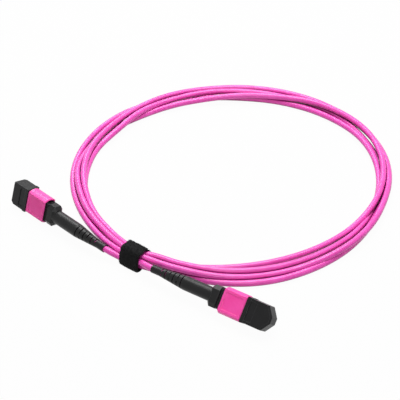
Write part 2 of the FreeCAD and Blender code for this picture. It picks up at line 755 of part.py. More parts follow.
# Boot: bevelled head, smooth taper, then a tail with staggered slots cut right through its wall
def boot(label):
    body = new_body(label)
    head = new_sketch(body, "YZ_Plane", "head_x1")
    bevelled(head, "head_y", "head_z", "head_yb", "head_zb")
    grow(body, head, "head_len", back=True)
    front, rear = size("head_x1"), size("head_x0")
    soften(body, "Chamfer", lambda p, e: near(p.x, rear), "head_rear")
    soften(body, "Chamfer", lambda p, e: near(p.x, front), "edge_break")
    tail = new_sketch(body, "XY_Plane")
    polygon(
        tail,
        [
            ("head_mid_x", "zero"), ("head_mid_x", "boot_r"), ("boot_mid_x", "boot_r"),
            ("boot_collar_x", "boot_tip_r"), ("boot_x0", "boot_tip_r"), ("boot_x0", "zero"),
        ],
    )
    turn(body, tail)
    hollow = new_sketch(body, "XY_Plane")
    polygon(
        hollow,
        [
            ("head_x1", "zero"), ("head_x1", "cavity_r"), ("cavity_x", "cavity_r"),
            ("cavity_x", "cavity_low_r"), ("cavity_x0", "cavity_low_r"), ("cavity_x0", "jacket_r"),
            ("boot_x0", "jacket_r"), ("boot_x0", "zero"),
        ],
    )
    before = body.Shape.Volume
    turn(body, hollow, "PartDesign::Groove")
    if body.Shape.Volume > before - 1:
        raise RuntimeError("boot hollow")
    for plane, x0, x1 in (("XY_Plane", "slot_a_x0", "slot_a_x1"), ("XZ_Plane", "slot_b_x0", "slot_b_x1")):
        slots = new_sketch(body, plane)
        rectangle(slots, x0, x1, "slot_y0", "slot_y1")
        rectangle(slots, x0, x1, "-slot_y1", "-slot_y0")
        first = cut(body, slots, both=True)
        row = body.newObject("PartDesign::LinearPattern", body.Name + "_row")
        row.Originals = [first]
        row.Direction = (origin_of(body, "X_Axis"), [""])
        row.Mode = "Extent"
        bind(row, "Length", "slot_run")
        row.Occurrences = 3
        body.Tip = row
        doc.recompute()
    return body


def rod(label, x0, length, outline):
    # A plain bar along x
    body = new_body(label)
    sketch = new_sketch(body, "YZ_Plane", x0)
    outline(sketch)
    grow(body, sketch, length)
    return body


def fibre_ribbon(label):
    body = new_body(label)
    sketch = new_sketch(body, "YZ_Plane", "ribbon_x1")
    centred(sketch, "ribbon_y", "ribbon_z")
    grow(body, sketch, "ribbon_len", back=True)
    return body


def plug(end):
    # Every part of one plug, in the plug's own axes
    parts = {
        "dust_cap": dust_cap(end),
        "coupling_sleeve": coupling_sleeve(f"coupling_sleeve_{end}"),
        "inner_housing": inner_housing(f"inner_housing_{end}"),
        "mt_ferrule": mt_ferrule(f"mt_ferrule_{end}"),
        "ferrule_boot": ring_block(
            f"ferrule_boot_{end}", "sock_x0", "sock_x1", ("sock_y", "sock_z"), ("sock_in_y", "sock_in_z")
        ),
        "pin_keeper": ring_block(
            f"pin_keeper_{end}", "keeper_x0", "keeper_x1",
            ("flange_y", "keeper_z"), ("keeper_in_y", "keeper_in_z"),
        ),
        "ferrule_spring": spring(
            f"ferrule_spring_{end}", "main_x0", "main_r0", "main_r1", "main_climb", "main_spring_turns"
        ),
        "coupling_spring_1": side_spring(f"coupling_spring_1_{end}", "spring_y"),
        "coupling_spring_2": side_spring(f"coupling_spring_2_{end}", "-spring_y"),
        "spring_push": spring_push(f"spring_push_{end}"),
        "crimp_ring": crimp_ring(f"crimp_ring_{end}"),
        "boot": boot(f"boot_{end}"),
        "fibre_ribbon": fibre_ribbon(f"fibre_ribbon_{end}"),
        "cable_end": rod(f"cable_end_{end}", "boot_x0", "jacket_len", lambda s: circle(s, "cable_r")),
    }
    # The boot's tip stays beside the strap, and the plug is lifted until it just stands on the floor
    spin = FreeCAD.Rotation(V(0, 0, 1), size(f"turn_{end}"))
    spin = spin * FreeCAD.Rotation(V(0, 1, 0), -size(f"tilt_{end}"))
    spin = spin * FreeCAD.Rotation(V(1, 0, 0), size(f"roll_{end}"))
    tip = spin.multVec(V(size("boot_x0"), 0, 0))
    base = V(size(f"tip_{end}_x") - tip.x, size(f"tip_{end}_y") - tip.y, 0)
    for part in parts.values():
        part.Placement = FreeCAD.Placement(base, spin)
    doc.recompute()
    low = min(part.Shape.optimalBoundingBox(True, False).ZMin for part in parts.values())
    base.z = -low
    for part in parts.values():
        part.Placement = FreeCAD.Placement(base, spin)
    doc.recompute()
    return list(parts.values()), base + tip, spin.multVec(V(-1, 0, 0))


# Coil: the outer shape of the four turns, lower along its outer edge, pressed narrow and high in the strap
def cable_coil():
    body = new_body("cable_coil")
    plan = new_sketch(body, "XY_Plane")
    egg(plan, "coil_out_r", "bend_out_r")
    egg(plan, "coil_in_r", "bend_in_r")
    grow(body, plan, "coil_high")
    top = size("coil_high")
    soften(body, "Chamfer", lambda p, e: near(p.z, top) and on_outer_rim(p), "coil_slope")
    soften(body, "Chamfer", lambda p, e: near(p.z, 0) or (near(p.z, top) and on_inner_rim(p)), "coil_bevel")
    notch = new_sketch(body, "XY_Plane", shift="strap_mid_y")
    rectangle(notch, "notch_x0", "notch_x1", "-coil_w", "coil_w")
    cut(body, notch, "coil_high", ahead=True)
    heap = new_sketch(body, "YZ_Plane", "notch_x0")
    polygon(
        heap,
        [
            ("heap_ya", "notch_deep"), ("heap_yb", "notch_deep"), ("heap_y1", "heap_za"), ("heap_y1", "heap_zb"),
            ("heap_yb", "heap_z1"), ("heap_ya", "heap_z1"), ("heap_y0", "heap_zb"), ("heap_y0", "heap_za"),
        ],
    )
    grow(body, heap, "notch_len")
    return body


def across(point):
    # How far a point of the coil lies outside the middle line of the turns
    flat = V(point.x, point.y, 0)
    from_coil = (flat - V(0, size("coil_cy"), 0)).Length - size("coil_r")
    from_bend = (flat - V(0, size("bend_cy"), 0)).Length - size("bend_r")
    lean = math.acos((size("coil_r") - size("bend_r")) / (size("coil_cy") - size("bend_cy")))
    side = V(math.sin(lean), -math.cos(lean), 0)
    from_line = side.dot(V(abs(point.x), point.y - size("coil_cy"), 0)) - size("coil_r")
    return min((from_coil, from_bend, from_line), key=lambda gap: abs(abs(gap) - size("coil_w") / 2))


def on_outer_rim(point):
    return near(across(point), size("coil_w") / 2)


def on_inner_rim(point):
    return near(across(point), -size("coil_w") / 2)


# Strap: a band wound once round the bundle, its end lapped up over the side that faces the coil's middle
def strap():
    body = new_body("hook_and_loop_strap")
    outside = new_sketch(body, "YZ_Plane", "strap_x0")
    polygon(
        outside,
        [
            ("band_y0", "zero"), ("lap_y1", "zero"), ("lap_y1", "strap_lap"), ("band_y1", "strap_lap"),
            ("band_y1", "band_z1"), ("band_y0", "band_z1"),
        ],
    )
    grow(body, outside, "strap_len")
    middle, step = size("strap_mid_x"), size("strap_lap")
    soften(body, "Fillet", lambda p, e: near(p.x, middle) and not near(p.z, step), "strap_round_out")
    hole = new_sketch(body, "YZ_Plane", "strap_x1")
    rectangle(hole, "hole_y0", "hole_y1", "strap_thick", "hole_z1")
    cut(body, hole)
    sides = (size("hole_y0"), size("hole_y1"))
    levels = (size("strap_thick"), size("hole_z1"))

    def inside_corner(p, e):
        return near(p.x, middle) and any(near(p.y, y) for y in sides) and any(near(p.z, z) for z in levels)

    soften(body, "Fillet", inside_corner, "strap_round")
    return body


def tube_path(spots):
    # Straight runs joined by tangent arcs through the given points
    runs = [(spots[i + 1] - spots[i]).Length for i in range(len(spots) - 1)]
    pieces = []
    here = spots[0]
    radii = []
    for i in range(1, len(spots) - 1):
        back = (spots[i - 1] - spots[i]).normalize()
        ahead = (spots[i + 1] - spots[i]).normalize()
        half = (math.pi - back.getAngle(ahead)) / 2
        reach = 0.45 * min(runs[i - 1], runs[i])
        radius = reach / math.tan(half)
        radii.append(round(radius, 1))
        start = spots[i] + back * reach
        end = spots[i] + ahead * reach
        bisector = (back + ahead).normalize()
        centre = spots[i] + bisector * (radius / math.cos(half))
        middle = centre - bisector * radius
        pieces.append(Part.LineSegment(here, start).toShape())
        pieces.append(Part.Arc(start, middle, end).toShape())
        here = end
    pieces.append(Part.LineSegment(here, spots[-1]).toShape())
    return Part.Wire(pieces), radii


# Tail: the cable from a boot's tip, through the strap, into the coil
def cable_tail(label, spots):
    path, radii = tube_path(spots)
    ring = Part.Wire([Part.Circle(spots[0], spots[1] - spots[0], size("cable_r")).toShape()])
    solid = path.makePipeShell([ring], True, False)
    share = solid.Volume / (math.pi * size("cable_r") ** 2 * path.Length)
    print(label, "bend radii", radii, "length", round(path.Length, 2), "volume", round(share, 4))
    tail = doc.addObject("Part::Feature", label)
    tail.Shape = solid
    tail.Placement = FreeCAD.Placement()
    return tail


def tail_spots(tip, way, side):
    # Points on a smooth curve from the boot's tip, straight on at first, to the bundle under the strap
    y = size("hole_y0") + size("cable_r") + size("strap_room")
    z = size("strap_thick") + size("strap_in_high") / 2
    last = V(size("strap_mid_x") + side * size("strap_len") * 0.1, y, z)
    pull = (last - tip).Length
    count = 4
    spots = []
    for i in range(count + 1):
        u = i / count
        spots.append(
            tip * (2 * u**3 - 3 * u**2 + 1)
            + way * (pull * (u**3 - 2 * u**2 + u))
            + last * (3 * u**2 - 2 * u**3)
            + V(-side, 0, 0) * (pull * (u**3 - u**2))
        )
    return spots


def recentre(nodes):
    # Put the origin on the floor under the middle of everything but the cable
    box = FreeCAD.BoundBox()
    for node in nodes:
        if not node.Label.startswith("cable_"):
            box.add(node.Shape.optimalBoundingBox(True, False))
    shift = FreeCAD.Placement(V(-box.Center.x, -box.Center.y, -box.ZMin), FreeCAD.Rotation())
    for node in nodes:
        node.Placement = shift * node.Placement
    print("moved by", shift.Base)


fill_sheet()
nodes = []
for end, side in (("a", -1), ("b", 1)):
    parts, tip, way = plug(end)
    nodes.extend(parts)
    nodes.append(cable_tail(f"cable_tail_{end}", tail_spots(tip, way, side)))
nodes.append(cable_coil())
nodes.append(strap())
recentre(nodes)
doc.recompute()

for item in doc.Objects:
    if "Invalid" in item.State or "Error" in item.State:
        raise RuntimeError(f"{item.Label} failed: {item.State}")
os.makedirs("parts", exist_ok=True)
for node in nodes:
    if node.Shape.isNull() or not node.Shape.isValid():
        raise RuntimeError(f"{node.Label} has no valid shape")
    node.Shape.exportStep(f"parts/{node.Label}.step")
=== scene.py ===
"""A multi-fibre trunk cable: its coiled cable, its strap, its springs and the finish of every part."""
import json
import math
import random

import bmesh
import bpy
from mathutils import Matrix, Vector, noise


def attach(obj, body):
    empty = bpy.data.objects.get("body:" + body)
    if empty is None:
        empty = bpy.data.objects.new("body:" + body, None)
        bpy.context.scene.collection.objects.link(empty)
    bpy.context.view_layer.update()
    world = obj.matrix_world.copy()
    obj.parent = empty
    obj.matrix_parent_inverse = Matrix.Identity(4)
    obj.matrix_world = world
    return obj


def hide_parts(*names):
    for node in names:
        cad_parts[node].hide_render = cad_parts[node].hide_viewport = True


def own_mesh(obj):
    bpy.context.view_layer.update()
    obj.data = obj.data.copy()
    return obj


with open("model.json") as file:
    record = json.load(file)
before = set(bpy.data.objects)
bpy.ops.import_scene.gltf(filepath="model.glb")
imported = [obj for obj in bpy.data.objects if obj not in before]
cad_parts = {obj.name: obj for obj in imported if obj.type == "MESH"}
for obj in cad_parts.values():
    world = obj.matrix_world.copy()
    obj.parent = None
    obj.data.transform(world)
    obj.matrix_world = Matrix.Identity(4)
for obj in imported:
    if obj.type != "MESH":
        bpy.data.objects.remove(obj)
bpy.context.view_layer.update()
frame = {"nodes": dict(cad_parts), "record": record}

MM = 0.001
scene = bpy.context.scene

# Camera, floor and light, in metres
EYE = (0.331837, -0.430789, 0.4438)
AIM = (-0.004363, 0.056611, 0.0)
VIEW_ANGLE = math.radians(14.72)
WORLD_LIGHT = 0.14           # the background's strength as a light
WORLD_SEEN = 1.0             # its strength where it is seen
FLOOR_HALF = 3.0
FLOOR_DROP = 0.00005         # keeps the floor clear of the faces that lie on it
FLOOR_GREY = (0.55, 0.55, 0.55, 1)
FLOOR_ROUGH = 0.9
FLOOR_GLOW = 0.965           # the share of plain white in the floor where it is seen
# Each lamp's name, place, aim, diameter and watts.
LAMPS = (
    ("key", (-0.10, 0.28, 0.79), (0.0, 0.07, 0.0), 0.6, 7.3),
    ("fill", (0.45, -0.55, 0.55), (0.0, 0.04, 0.0), 0.5, 2.2),
    ("rim", (-0.44, 0.43, 0.44), (-0.05, 0.0, 0.0), 0.3, 1.4),
)
BLACK = (0, 0, 0, 1)
WHITE = (1, 1, 1, 1)


def add_facing(name, data, place, aim):
    """A camera or a lamp at a place, turned to its aim."""
    made = bpy.data.objects.new(name, data)
    made.location = place
    made.rotation_mode = "QUATERNION"
    made.rotation_quaternion = (Vector(aim) - Vector(place)).to_track_quat("-Z", "Y")
    scene.collection.objects.link(made)
    return made


def add_camera():
    data = bpy.data.cameras.new("camera")
    data.angle = VIEW_ANGLE
    scene.camera = add_facing("camera", data, EYE, AIM)


def add_lamp(name, place, aim, size, watts):
    data = bpy.data.lights.new(name, "AREA")
    data.shape = "DISK"
    data.size = size
    data.energy = watts
    add_facing(name, data, place, aim)


def seen_directly(tree):
    """1 for rays from the camera, from a mirror or through glass, and 0 for the rest."""
    path = tree.nodes.new("ShaderNodeLightPath")
    total = path.outputs["Is Camera Ray"]
    for kind in ("Is Glossy Ray", "Is Transmission Ray"):
        both = tree.nodes.new("ShaderNodeMath")
        both.operation = "MAXIMUM"
        tree.links.new(total, both.inputs[0])
        tree.links.new(path.outputs[kind], both.inputs[1])
        total = both.outputs[0]
    return total


def add_world():
    world = bpy.data.worlds.new("studio")
    scene.world = world
    world.use_nodes = True
    tree = world.node_tree
    level = tree.nodes.new("ShaderNodeMapRange")
    level.inputs["To Min"].default_value = WORLD_LIGHT
    level.inputs["To Max"].default_value = WORLD_SEEN
    tree.links.new(seen_directly(tree), level.inputs["Value"])
    back = tree.nodes["Background"]
    back.inputs["Color"].default_value = WHITE
    tree.links.new(level.outputs["Result"], back.inputs["Strength"])


def add_floor():
    mesh = bpy.data.meshes.new("floor")
    corners = [(x * FLOOR_HALF, y * FLOOR_HALF, 0) for x, y in ((-1, -1), (1, -1), (1, 1), (-1, 1))]
    mesh.from_pydata(corners, [], [(0, 1, 2, 3)])
    floor = bpy.data.objects.new("floor", mesh)
    floor.location.z = -FLOOR_DROP
    scene.collection.objects.link(floor)
    mat = bpy.data.materials.new("floor_paper")
    mat.use_nodes = True
    tree = mat.node_tree
    paper = tree.nodes["Principled BSDF"]
    paper.inputs["Base Color"].default_value = FLOOR_GREY
    paper.inputs["Roughness"].default_value = FLOOR_ROUGH
    glow = tree.nodes.new("ShaderNodeEmission")
    share = tree.nodes.new("ShaderNodeMath")
    share.operation = "MULTIPLY"
    share.inputs[1].default_value = FLOOR_GLOW
    tree.links.new(seen_directly(tree), share.inputs[0])
    mix = tree.nodes.new("ShaderNodeMixShader")
    tree.links.new(share.outputs[0], mix.inputs["Fac"])
    tree.links.new(paper.outputs[0], mix.inputs[1])
    tree.links.new(glow.outputs[0], mix.inputs[2])
    tree.links.new(mix.outputs[0], tree.nodes["Material Output"].inputs["Surface"])
    mesh.materials.append(mat)


add_camera()
add_world()
add_floor()
for lamp in LAMPS:
    add_lamp(*lamp)
scene.view_settings.view_transform = "Standard"


# Materials
NOISE_LOW, NOISE_HIGH = 0.3, 0.7         # noise lies mostly between these
EDGE_NONE, EDGE_FULL = 0.99, 0.80        # how far a rounded normal agrees with the face, off and on an edge
NOOK_FULL, NOOK_NONE = 0.15, 0.75        # how open a place is, deep in a nook and out of it, for the painted shade
BEVEL_SAMPLES = 6
NOOK_SAMPLES = 16
MIX_FIRST, MIX_SECOND, MIX_RESULT = 6, 7, 2      # the mix node's sockets for colours
CLOUD_LOW, CLOUD_HIGH = 0.35, 0.65       # where noise gives the deep and the pale colour
WORN_REACH = 1.6                         # how far wear goes, as a share of the edge's rounding
DUST_SHARE = 0.15
RIB_SCALE = 620                          # ribs about 0.5 mm apart


def screen(red, green, blue):
    """A linear colour from an 8-bit screen colour, by the sRGB curve."""
    def line(value):
        value /= 255
        return value / 12.92 if value <= 0.04045 else ((value + 0.055) / 1.055) ** 2.4
    return (line(red), line(green), line(blue), 1.0)


class Finish:
    """A node material whose colour, roughness and surface come from procedural textures."""

    def __init__(self, name):
        self.mat = bpy.data.materials.new(name)
        self.mat.use_nodes = True
        self.tree = self.mat.node_tree
        self.shader = self.tree.nodes["Principled BSDF"]
        self.place = self.node("ShaderNodeTexCoord").outputs["Object"]
        self.normal = None

    def node(self, kind, **settings):
        made = self.tree.nodes.new(kind)
        for key, value in settings.items():
            setattr(made, key, value)
        return made

    def link(self, source, target):
        self.tree.links.new(source, target)

    def feed(self, source, socket):
        """Links another node's output to a socket, or sets the socket to a plain value."""
        if isinstance(source, (tuple, float)):
            socket.default_value = source
        else:
            self.link(source, socket)

    def noise(self, size_mm, detail, stretch=(1, 1, 1)):
        """Noise with features about size_mm across."""
        spread = self.node("ShaderNodeMapping")
        spread.inputs["Scale"].default_value = stretch
        self.link(self.place, spread.inputs["Vector"])
        made = self.node("ShaderNodeTexNoise")
        made.inputs["Scale"].default_value = 1 / (size_mm * MM)
        made.inputs["Detail"].default_value = detail
        self.link(spread.outputs[0], made.inputs["Vector"])
        return made.outputs["Fac"]

    def ramp(self, source, stops):
        """Colours at places along a 0 to 1 value."""
        made = self.node("ShaderNodeValToRGB")
        ends = made.color_ramp.elements
        ends[0].position, ends[0].color = stops[0]
        ends[1].position, ends[1].color = stops[-1]
        for place, colour in stops[1:-1]:
            ends.new(place).color = colour
        self.link(source, made.inputs["Fac"])
        return made.outputs["Color"]

    def spread(self, source, low, high):
        """Noise moved to the range from low to high."""
        made = self.node("ShaderNodeMapRange")
        made.inputs["From Min"].default_value = NOISE_LOW
        made.inputs["From Max"].default_value = NOISE_HIGH
        made.inputs["To Min"].default_value = low
        made.inputs["To Max"].default_value = high
        self.link(source, made.inputs["Value"])
        return made.outputs["Result"]

    def rounded(self, radius_mm):
        """The normal with the edges rounded."""
        made = self.node("ShaderNodeBevel", samples=BEVEL_SAMPLES)
        made.inputs["Radius"].default_value = radius_mm * MM
        return made.outputs["Normal"]

    def edges(self, radius_mm):
        """1 along the sharp edges and 0 elsewhere."""
        flat = self.node("ShaderNodeNewGeometry")
        dot = self.node("ShaderNodeVectorMath", operation="DOT_PRODUCT")
        self.link(self.rounded(radius_mm), dot.inputs[0])
        self.link(flat.outputs["Normal"], dot.inputs[1])
        made = self.node("ShaderNodeMapRange")
        made.inputs["From Min"].default_value = EDGE_NONE
        made.inputs["From Max"].default_value = EDGE_FULL
        self.link(dot.outputs["Value"], made.inputs["Value"])
        return made.outputs["Result"]

    def painted_nook_shade(self, reach_mm):
        """Painted shade: 1 deep between touching surfaces and 0 in the open."""
        made = self.node("ShaderNodeAmbientOcclusion", samples=NOOK_SAMPLES)
        made.inputs["Distance"].default_value = reach_mm * MM
        return self.ramp(made.outputs["AO"], ((NOOK_FULL, WHITE), (NOOK_NONE, BLACK)))

    def mix(self, share, first, second):
        made = self.node("ShaderNodeMix", data_type="RGBA")
        self.link(share, made.inputs["Factor"])
        self.feed(first, made.inputs[MIX_FIRST])
        self.feed(second, made.inputs[MIX_SECOND])
        return made.outputs[MIX_RESULT]

    def times(self, first, second):
        made = self.node("ShaderNodeMath", operation="MULTIPLY")
        self.feed(first, made.inputs[0])
        self.feed(second, made.inputs[1])
        return made.outputs[0]

    def bump(self, height, depth_mm, strength):
        made = self.node("ShaderNodeBump")
        made.inputs["Strength"].default_value = strength
        made.inputs["Distance"].default_value = depth_mm * MM
        self.link(height, made.inputs["Height"])
        if self.normal is not None:
            self.link(self.normal, made.inputs["Normal"])
        self.normal = made.outputs["Normal"]

    def done(self, colour, rough, metal=0.0, spec=0.5, sheen=0.0):
        self.link(colour, self.shader.inputs["Base Color"])
        self.link(rough, self.shader.inputs["Roughness"])
        self.link(self.normal, self.shader.inputs["Normal"])
        self.shader.inputs["Metallic"].default_value = metal
        self.shader.inputs["Specular IOR Level"].default_value = spec
        self.shader.inputs["Sheen Weight"].default_value = sheen
        return self.mat


def moulded(name, deep, pale, grain_mm, depth_mm, rough, worn=None, round_mm=0.15, spec=0.5):
    """A moulded plastic or rubber: cloudy colour, a fine grain and, where worn is given, rubbed edges."""
    f = Finish(name)
    grain = f.noise(grain_mm, detail=2.0)
    cloud = f.noise(size_mm=6.0, detail=3.0)
    colour = f.ramp(cloud, ((CLOUD_LOW, screen(*deep)), (CLOUD_HIGH, screen(*pale))))
    if worn:
        patches = f.spread(f.noise(size_mm=1.2, detail=4.0), low=0.15, high=0.75)
        colour = f.mix(f.times(f.edges(round_mm * WORN_REACH), patches), colour, screen(*worn))
    f.normal = f.rounded(round_mm)
    f.bump(grain, depth_mm, strength=0.8)
    return f.done(colour, f.spread(grain, *rough), spec=spec)


def metal(name, deep, pale, rough):
    """A drawn or stamped metal with fine lines."""
    f = Finish(name)
    lines = f.noise(size_mm=0.25, detail=3.0, stretch=(0.15, 1.0, 1.0))
    cloud = f.noise(size_mm=2.0, detail=3.0)
    colour = f.ramp(cloud, ((CLOUD_LOW, screen(*deep)), (CLOUD_HIGH, screen(*pale))))
    f.bump(lines, depth_mm=0.01, strength=0.6)
    return f.done(colour, f.spread(lines, *rough), metal=1.0)


def jacket():
    """The extruded cable jacket: satin, with a faint mottle and dust, and painted shade darker between the
    strands.
    """
    f = Finish("jacket")
    grain = f.noise(size_mm=0.35, detail=3.0)
    mottle = f.noise(size_mm=7.0, detail=3.0)
    colour = f.ramp(mottle, ((0.3, screen(233, 72, 179)), (0.5, screen(238, 78, 185)),
                             (0.7, screen(243, 86, 191))))
    dust = f.ramp(f.noise(size_mm=0.6, detail=5.0), ((0.74, BLACK), (0.82, WHITE)))
    colour = f.mix(f.times(dust, DUST_SHARE), colour, screen(248, 160, 224))
    # Painted shade: a dark magenta mixed in where strands touch, standing in for the shadow between them.
    colour = f.mix(f.painted_nook_shade(reach_mm=3.6), colour, screen(112, 4, 74))
    f.bump(grain, depth_mm=0.002, strength=0.3)
    return f.done(colour, f.spread(grain, low=0.30, high=0.36), spec=0.55)


def cloth():
    """The strap's knitted nylon: ribs along it, under the pile."""
    f = Finish("strap_cloth")
    ribs = f.node("ShaderNodeTexWave", wave_type="BANDS", bands_direction="X")
    ribs.inputs["Scale"].default_value = RIB_SCALE
    ribs.inputs["Distortion"].default_value = 3.0
    ribs.inputs["Detail"].default_value = 2.0
    f.link(f.place, ribs.inputs["Vector"])
    fuzz = f.noise(size_mm=0.22, detail=4.0)
    colour = f.ramp(fuzz, ((0.35, screen(3, 3, 4)), (0.55, screen(9, 9, 10)), (0.75, screen(26, 27, 27))))
    f.bump(ribs.outputs["Fac"], depth_mm=0.12, strength=0.5)
    f.bump(fuzz, depth_mm=0.2, strength=0.9)
    return f.done(colour, f.spread(fuzz, low=0.6, high=0.85), spec=0.1, sheen=0.05)


MOULDED = {
    "cap_plastic": dict(deep=(9, 9, 11), pale=(16, 16, 18), grain_mm=0.16, depth_mm=0.03,
                        rough=(0.26, 0.4), worn=(96, 98, 100), spec=0.23),
    "sleeve_plastic": dict(deep=(252, 68, 166), pale=(255, 80, 176), grain_mm=0.2, depth_mm=0.02,
                           rough=(0.34, 0.48), worn=(255, 150, 205), spec=0.45),
    "housing_plastic": dict(deep=(10, 10, 11), pale=(18, 18, 19), grain_mm=0.2, depth_mm=0.02,
                            rough=(0.4, 0.55), worn=(70, 72, 74), spec=0.25),
    "ferrule_plastic": dict(deep=(52, 54, 56), pale=(84, 86, 88), grain_mm=0.12, depth_mm=0.02,
                            rough=(0.35, 0.5), worn=(130, 132, 134), round_mm=0.05),
    "boot_rubber": dict(deep=(9, 9, 10), pale=(17, 17, 18), grain_mm=0.22, depth_mm=0.05,
                        rough=(0.28, 0.4), worn=(60, 63, 65), round_mm=0.18, spec=0.26),
    "fibre": dict(deep=(120, 200, 205), pale=(170, 225, 228), grain_mm=0.25, depth_mm=0.02,
                  rough=(0.25, 0.4)),
}
METALS = {
    "keeper_metal": dict(deep=(150, 148, 144), pale=(196, 194, 190), rough=(0.25, 0.4)),
    "spring_steel": dict(deep=(140, 142, 146), pale=(190, 192, 196), rough=(0.2, 0.35)),
    "crimp_metal": dict(deep=(176, 160, 120), pale=(206, 190, 150), rough=(0.25, 0.4)),
}
MATERIALS = {"jacket": jacket(), "strap_cloth": cloth()}
for make, looks in ((moulded, MOULDED), (metal, METALS)):
    for slot, look in looks.items():
        MATERIALS[slot] = make(slot, **look)

for part in frame["record"]["subparts"]:
    for holder in frame["nodes"][part["node"]].material_slots:
        holder.material = MATERIALS[part["material_slot"]]


def add_object(name, data, slot):
    """An object of one material, in the scene."""
    data.materials.append(MATERIALS[slot])
    made = bpy.data.objects.new(name, data)
    scene.collection.objects.link(made)
    return made


def tube_mesh(name, rings, smooth_ends):
    """A closed mesh through rings of places, in their order."""
    bm = bmesh.new()
    rows = [[bm.verts.new(place) for place in ring] for ring in rings]
    for a, b in zip(rows, rows[1:]):
        for i in range(len(a)):
            k = (i + 1) % len(a)
            bm.faces.new((a[i], a[k], b[k], b[i])).smooth = True
    for end in (rows[0], rows[-1]):
        bm.faces.new(end).smooth = smooth_ends
    bmesh.ops.recalc_face_normals(bm, faces=bm.faces)
    mesh = bpy.data.meshes.new(name)
    bm.to_mesh(mesh)
    bm.free()
    return mesh


# The cable, in mm except for its thickness and its exit, which are in metres
CABLE_D = 3.0 * MM
COIL_X, COIL_Y = -0.993, 78.911
# Places round the coil, in degrees anticlockwise from the strap.
ANGLES = (0, 7.5, *range(15, 346, 15), 352.5)
# The four turns in the order the cable makes them. Each lists the strand's distance from the coil's
# middle and its height at those places.
TURNS = (
    ((81.0, 2.2), (79.1, 1.8), (78.3, 1.5), (80.3, 1.5), (80.5, 1.5), (78.6, 1.5), (76.7, 1.5),
     (74.6, 1.5), (73.4, 1.5), (74.0, 1.5), (73.7, 1.5), (74.2, 1.5), (76.2, 1.5), (76.4, 1.5),
     (76.0, 2.0), (75.2, 2.6), (73.2, 3.8), (71.4, 3.8), (70.6, 4.3), (68.0, 3.6), (70.8, 1.8),
     (70.9, 1.5), (71.6, 1.5), (74.2, 1.5), (75.8, 1.7), (76.8, 2.1)),
    ((77.7, 2.3), (75.6, 1.9), (72.8, 1.6), (69.6, 1.5), (67.7, 1.5), (67.0, 1.5), (67.2, 1.5),
     (68.6, 1.8), (71.3, 4.4), (72.8, 4.5), (75.0, 4.3), (77.2, 4.3), (77.2, 4.4), (75.4, 4.5),
     (71.0, 4.5), (68.8, 4.2), (67.8, 3.0), (68.3, 2.6), (69.9, 1.5), (72.6, 1.5), (74.6, 1.7),
     (75.3, 3.0), (74.1, 4.3), (74.5, 4.5), (75.6, 4.9), (77.5, 5.85)),
    ((79.7, 6.85), (78.9, 6.15), (78.2, 5.0), (78.3, 3.4), (76.7, 2.0), (76.3, 2.4), (77.0, 4.3),
     (76.2, 4.3), (75.0, 4.4), (75.7, 3.8), (77.2, 2.5), (78.6, 1.8), (79.2, 2.0), (79.0, 2.8),
     (79.0, 2.8), (78.9, 2.5), (78.2, 2.4), (75.6, 4.2), (73.9, 4.2), (72.4, 4.2), (72.7, 4.3),
     (72.1, 4.3), (71.3, 4.3), (71.9, 3.0), (72.2, 2.9), (75.0, 5.4)),
    ((78.0, 6.6), (75.2, 6.2), (74.4, 4.6), (75.0, 4.2), (74.25, 3.6), (72.6, 2.8), (71.6, 2.2),
     (71.5, 1.5), (70.8, 1.5), (71.3, 1.6), (71.7, 3.2), (72.0, 3.4), (72.2, 2.2), (72.2, 1.5),
     (71.2, 1.5), (70.3, 1.5), (71.6, 1.5), (74.6, 1.5), (78.0, 1.5), (78.3, 1.5), (77.8, 1.5),
     (77.3, 1.5), (76.6, 1.8), (76.8, 2.6), (79.0, 4.2), (80.0, 4.7)),
)
FROM_BOOT_A = ((-17.14, -3.26, 4.95), (-13.18, -3.78, 4.70), (-8.38, -2.53, 3.0))
INTO_BOOT_B = ((-0.98, -1.63, 4.95), (4.82, -2.93, 5.5), (9.42, -3.86, 5.98), (13.82, -3.9, 6.05))


def cable_points():
    """The spline's points, moved outwards so that the spline itself passes near the places in TURNS."""
    points = [Vector(p) for p in FROM_BOOT_A]
    around = [math.radians(angle) for angle in ANGLES]
    for turn in TURNS:
        for index, (reach, height) in enumerate(turn):
            angle = around[index] - math.pi / 2
            before = around[index] - around[index - 1]
            after = around[(index + 1) % len(around)] - around[index]
            # Near a point, a spline of order 3 passes (point before + 6 of the point + point after) / 8.
            reach *= 8 / (6 + (math.cos(before) + math.cos(after)))
            x, y = COIL_X + reach * math.cos(angle), COIL_Y + reach * math.sin(angle)
            points.append(Vector((x, y, height)))
    points += [Vector(p) for p in INTO_BOOT_B]
    return [p * MM for p in points]


def add_cable():
    curve = bpy.data.curves.new("cable", "CURVE")
    curve.dimensions = "3D"
    points = cable_points()
    spline = curve.splines.new("NURBS")
    spline.points.add(len(points) - 1)
    for point, place in zip(spline.points, points):
        point.co = (*place, 1.0)
    spline.order_u = 3
    spline.use_endpoint_u = True
    curve.resolution_u = 8
    curve.bevel_depth = CABLE_D / 2
    curve.bevel_resolution = 5
    curve.use_fill_caps = True
    cable = add_object("cable", curve, "jacket")
    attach(cable, "cable")
    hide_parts("cable_coil", "cable_tail_a", "cable_tail_b")


add_cable()

# The hook-and-loop strap, in mm
STRAP_X = (-7.02, 4.08)
STRAP_MIDDLE = sum(STRAP_X) / 2
STRAP_T = 0.9
STRAP_TURN = -0.077          # the strap sits slightly turned on the bundle
STRAP_CROWN = 0.18           # how much higher its outer face is along the middle
STRAP_LOWEST = 0.02          # keeps the strap above the floor
